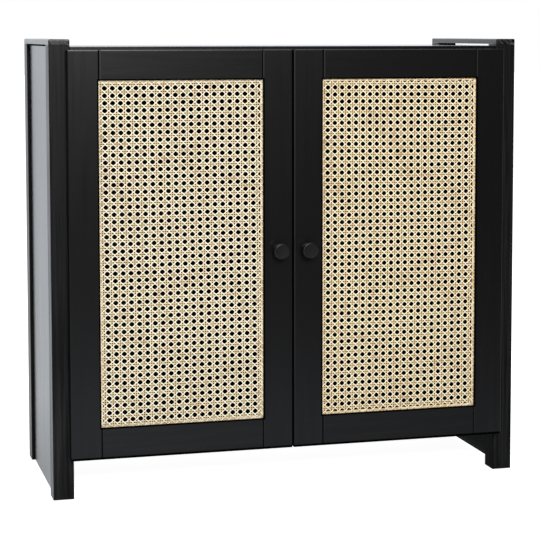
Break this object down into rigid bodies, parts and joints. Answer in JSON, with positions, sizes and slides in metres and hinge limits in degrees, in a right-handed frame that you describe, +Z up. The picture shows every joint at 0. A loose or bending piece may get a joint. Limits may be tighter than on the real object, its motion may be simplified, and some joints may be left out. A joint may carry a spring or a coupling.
{
  "type": "record cabinet",
  "caption": "Black lacquered record cabinet on square posts, with framed cane doors, round knobs, an inner shelf and raised cap rails beside its top board.",
  "frame": {"origin": "on the floor, under the middle of the cabinet's box with its doors shut and its knobs counted in", "axes": "+Z up, +X along the cabinet's width to the right as seen from the front, the doors and knobs face -Y"},
  "size_m": [0.82, 0.371, 0.77],
  "materials": {
    "lacquer": "satin black lacquer over fine-grained wood",
    "inner_lacquer": "matt black lacquer on the inner boards",
    "cane": "natural woven cane",
    "nickel": "nickel plate",
    "zinc": "zinc plate",
    "plastic": "moulded black plastic"
  },
  "bodies": {
    "carcass": {"left_front_post": "lacquer", "left_rear_post": "lacquer", "right_front_post": "lacquer", "right_rear_post": "lacquer", "left_cap_rail": "lacquer", "right_cap_rail": "lacquer", "left_side_panel": "lacquer", "right_side_panel": "lacquer", "top_board": "lacquer", "bottom_board": "inner_lacquer", "back_panel": "inner_lacquer", "shelf": "inner_lacquer", "left_top_batten": "inner_lacquer", "left_bottom_batten": "inner_lacquer", "right_top_batten": "inner_lacquer", "right_bottom_batten": "inner_lacquer", "left_front_glide": "plastic", "left_rear_glide": "plastic", "right_front_glide": "plastic", "right_rear_glide": "plastic", "left_front_shelf_pin": "nickel", "left_rear_shelf_pin": "nickel", "right_front_shelf_pin": "nickel", "right_rear_shelf_pin": "nickel", "left_lower_hinge_arm": "nickel", "left_upper_hinge_arm": "nickel", "right_lower_hinge_arm": "nickel", "right_upper_hinge_arm": "nickel", "left_catch": "plastic", "right_catch": "plastic"},
    "left_door": {"left_door_outer_stile": "lacquer", "left_door_inner_stile": "lacquer", "left_door_top_rail": "lacquer", "left_door_bottom_rail": "lacquer", "left_door_cane_panel": "cane", "left_door_outer_bead": "inner_lacquer", "left_door_inner_bead": "inner_lacquer", "left_door_top_bead": "inner_lacquer", "left_door_bottom_bead": "inner_lacquer", "left_door_knob": "lacquer", "left_door_knob_screw": "nickel", "left_door_lower_hinge_cup": "nickel", "left_door_upper_hinge_cup": "nickel", "left_door_strike_plate": "zinc"},
    "right_door": {"right_door_outer_stile": "lacquer", "right_door_inner_stile": "lacquer", "right_door_top_rail": "lacquer", "right_door_bottom_rail": "lacquer", "right_door_cane_panel": "cane", "right_door_outer_bead": "inner_lacquer", "right_door_inner_bead": "inner_lacquer", "right_door_top_bead": "inner_lacquer", "right_door_bottom_bead": "inner_lacquer", "right_door_knob": "lacquer", "right_door_knob_screw": "nickel", "right_door_lower_hinge_cup": "nickel", "right_door_upper_hinge_cup": "nickel", "right_door_strike_plate": "zinc"}
  },
  "joints": [
    {"name": "left_door_hinge", "type": "hinge", "parent": "carcass", "child": "left_door", "pos_m": [-0.382, -0.1505, 0.4115], "axis": [0, 0, -1], "range_deg": [0, 110]},
    {"name": "right_door_hinge", "type": "hinge", "parent": "carcass", "child": "right_door", "pos_m": [0.382, -0.1505, 0.4115], "axis": [0, 0, 1], "range_deg": [0, 110]}
  ]
}
